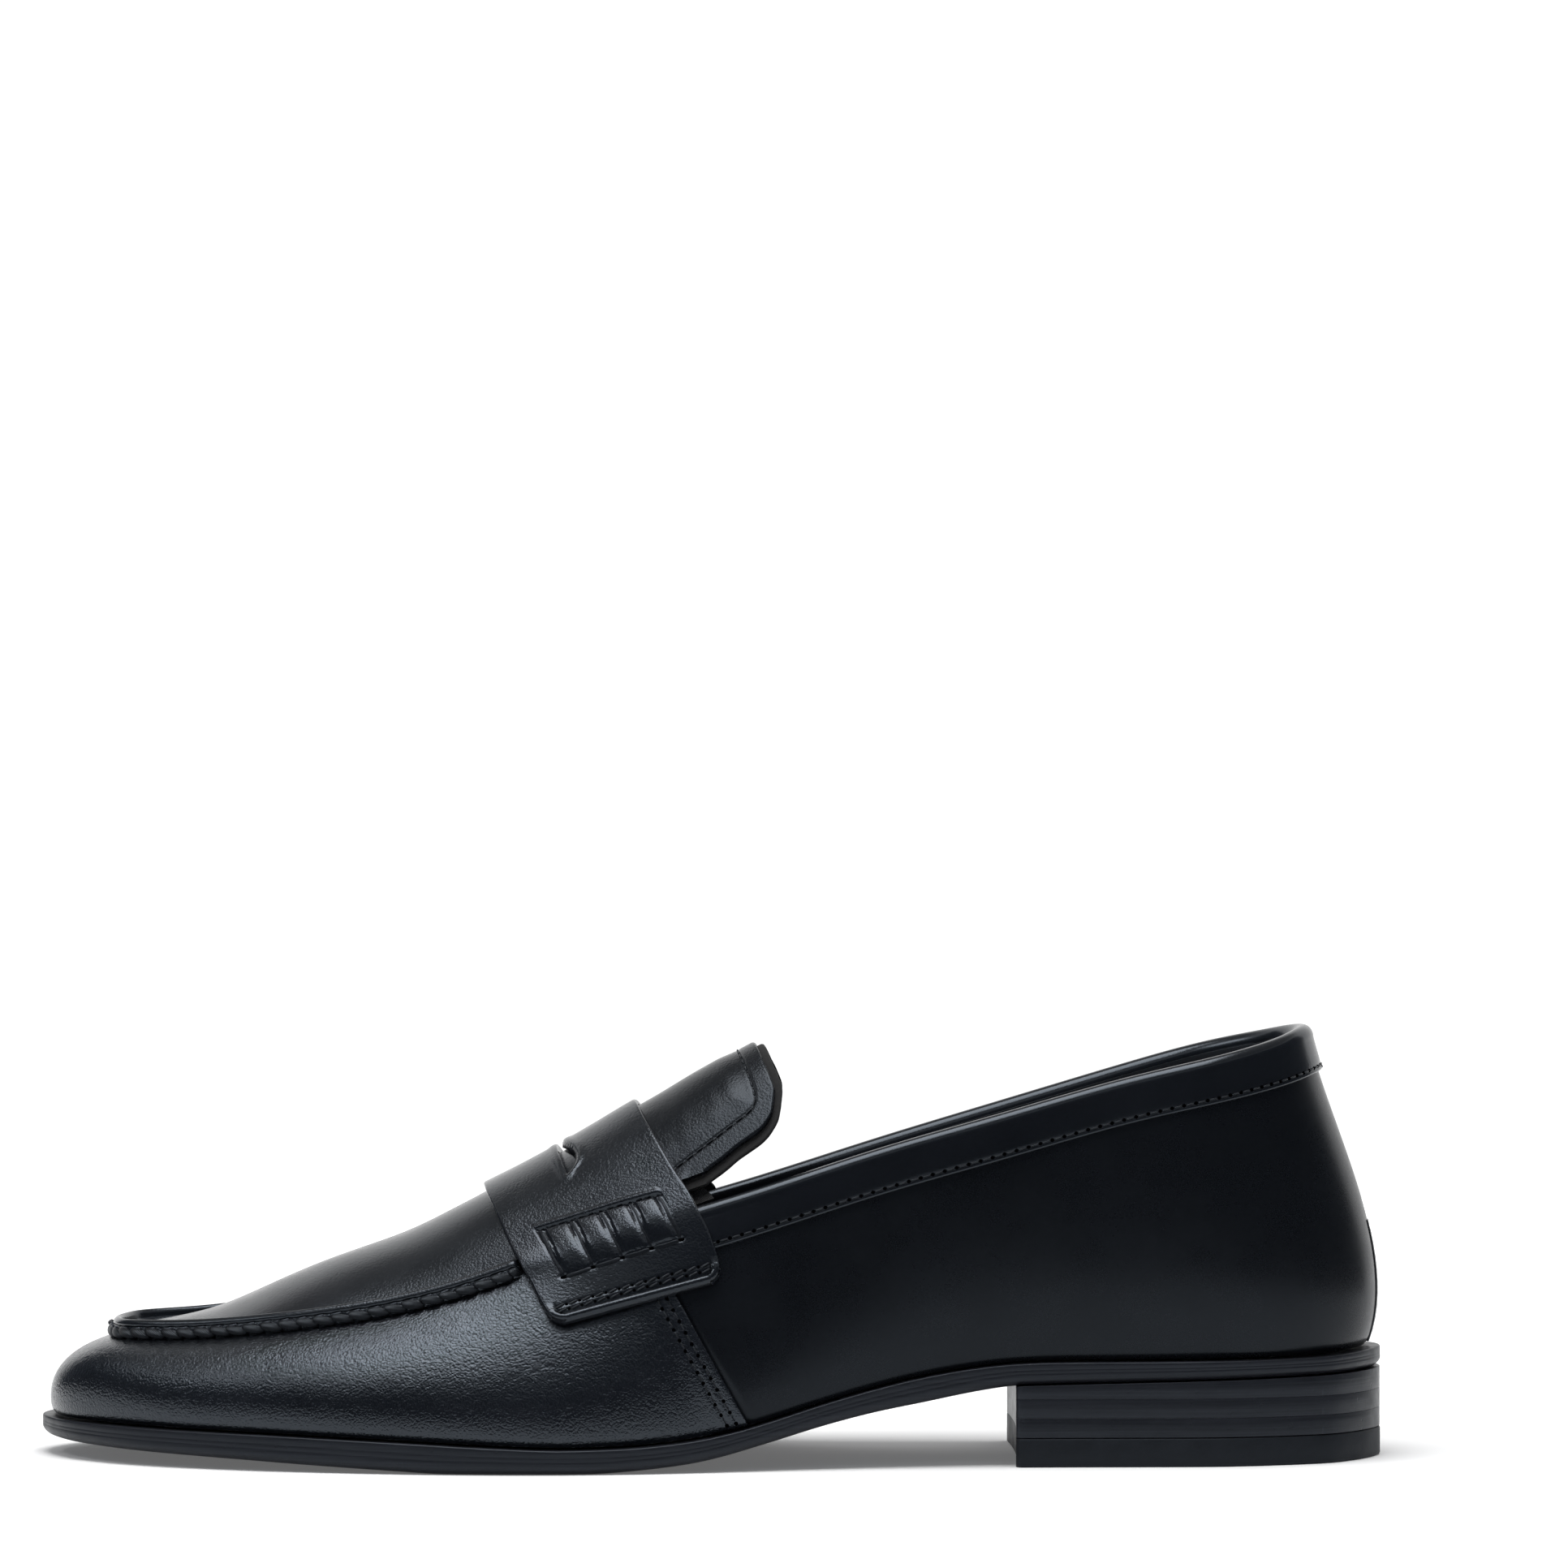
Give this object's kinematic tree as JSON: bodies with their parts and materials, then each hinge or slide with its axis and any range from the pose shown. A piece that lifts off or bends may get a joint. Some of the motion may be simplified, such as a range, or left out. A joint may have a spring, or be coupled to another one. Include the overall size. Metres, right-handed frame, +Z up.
{
  "type": "penny loafer",
  "caption": "Slim black leather slip-on shoe with a moccasin-seam apron, slotted saddle strap, lifting tongue, leather sole and stacked heel.",
  "frame": {"origin": "centre of the footprint's bounding box, on the ground", "axes": "+X from toe to heel, +Z up, -Y towards the outer (lateral) side of this left shoe"},
  "size_m": [0.295, 0.1006, 0.0944],
  "materials": {
    "sole_leather": "satin, edge-dressed black",
    "heel_rubber": "matte",
    "steel": "plain",
    "cork": "granular, matte",
    "insole": "matte fibre board",
    "foam": "matte foam",
    "lining": "matte lining leather",
    "vamp_leather": "polished, finely pebbled",
    "quarter_leather": "polished smooth calf",
    "stiffener": "stiffened fibre",
    "binding_leather": "polished smooth calf",
    "plug_leather": "polished, finely pebbled",
    "thread": "waxed thread",
    "strap_leather": "polished, finely pebbled",
    "gore_elastic": "woven elastic",
    "tongue_leather": "polished, softly creased",
    "tongue_lining": "napped lining leather"
  },
  "bodies": {
    "shoe": {"outsole": "sole_leather", "heel_top_piece": "heel_rubber", "heel_lift_lower": "sole_leather", "heel_lift_middle": "sole_leather", "heel_lift_upper": "sole_leather", "heel_nail_1": "steel", "heel_nail_2": "steel", "heel_nail_3": "steel", "heel_nail_4": "steel", "heel_nail_5": "steel", "heel_screw": "steel", "cork_filler": "cork", "steel_shank": "steel", "insole_board": "insole", "heel_cushion": "foam", "sock_liner": "lining", "vamp": "vamp_leather", "quarter_lateral": "quarter_leather", "quarter_medial": "quarter_leather", "toe_puff": "stiffener", "heel_counter": "stiffener", "vamp_lining": "lining", "quarter_lining_lateral": "lining", "quarter_lining_medial": "lining", "back_stay": "quarter_leather", "collar_binding": "binding_leather", "apron_plug": "plug_leather", "plug_lining": "lining", "apron_seam_thread": "thread", "saddle_strap": "strap_leather", "strap_lacing_lateral": "strap_leather", "strap_lacing_medial": "strap_leather", "gore_lateral": "gore_elastic", "gore_medial": "gore_elastic"},
    "tongue": {"tongue": "tongue_leather", "tongue_lining": "tongue_lining"}
  },
  "joints": [
    {"name": "tongue_flex", "type": "hinge", "parent": "shoe", "child": "tongue", "pos_m": [-0.01571, 0, 0.0756], "axis": [0, -1, 0], "range_deg": [-4, 28], "stiffness_Nm_per_rad": 0.02}
  ]
}
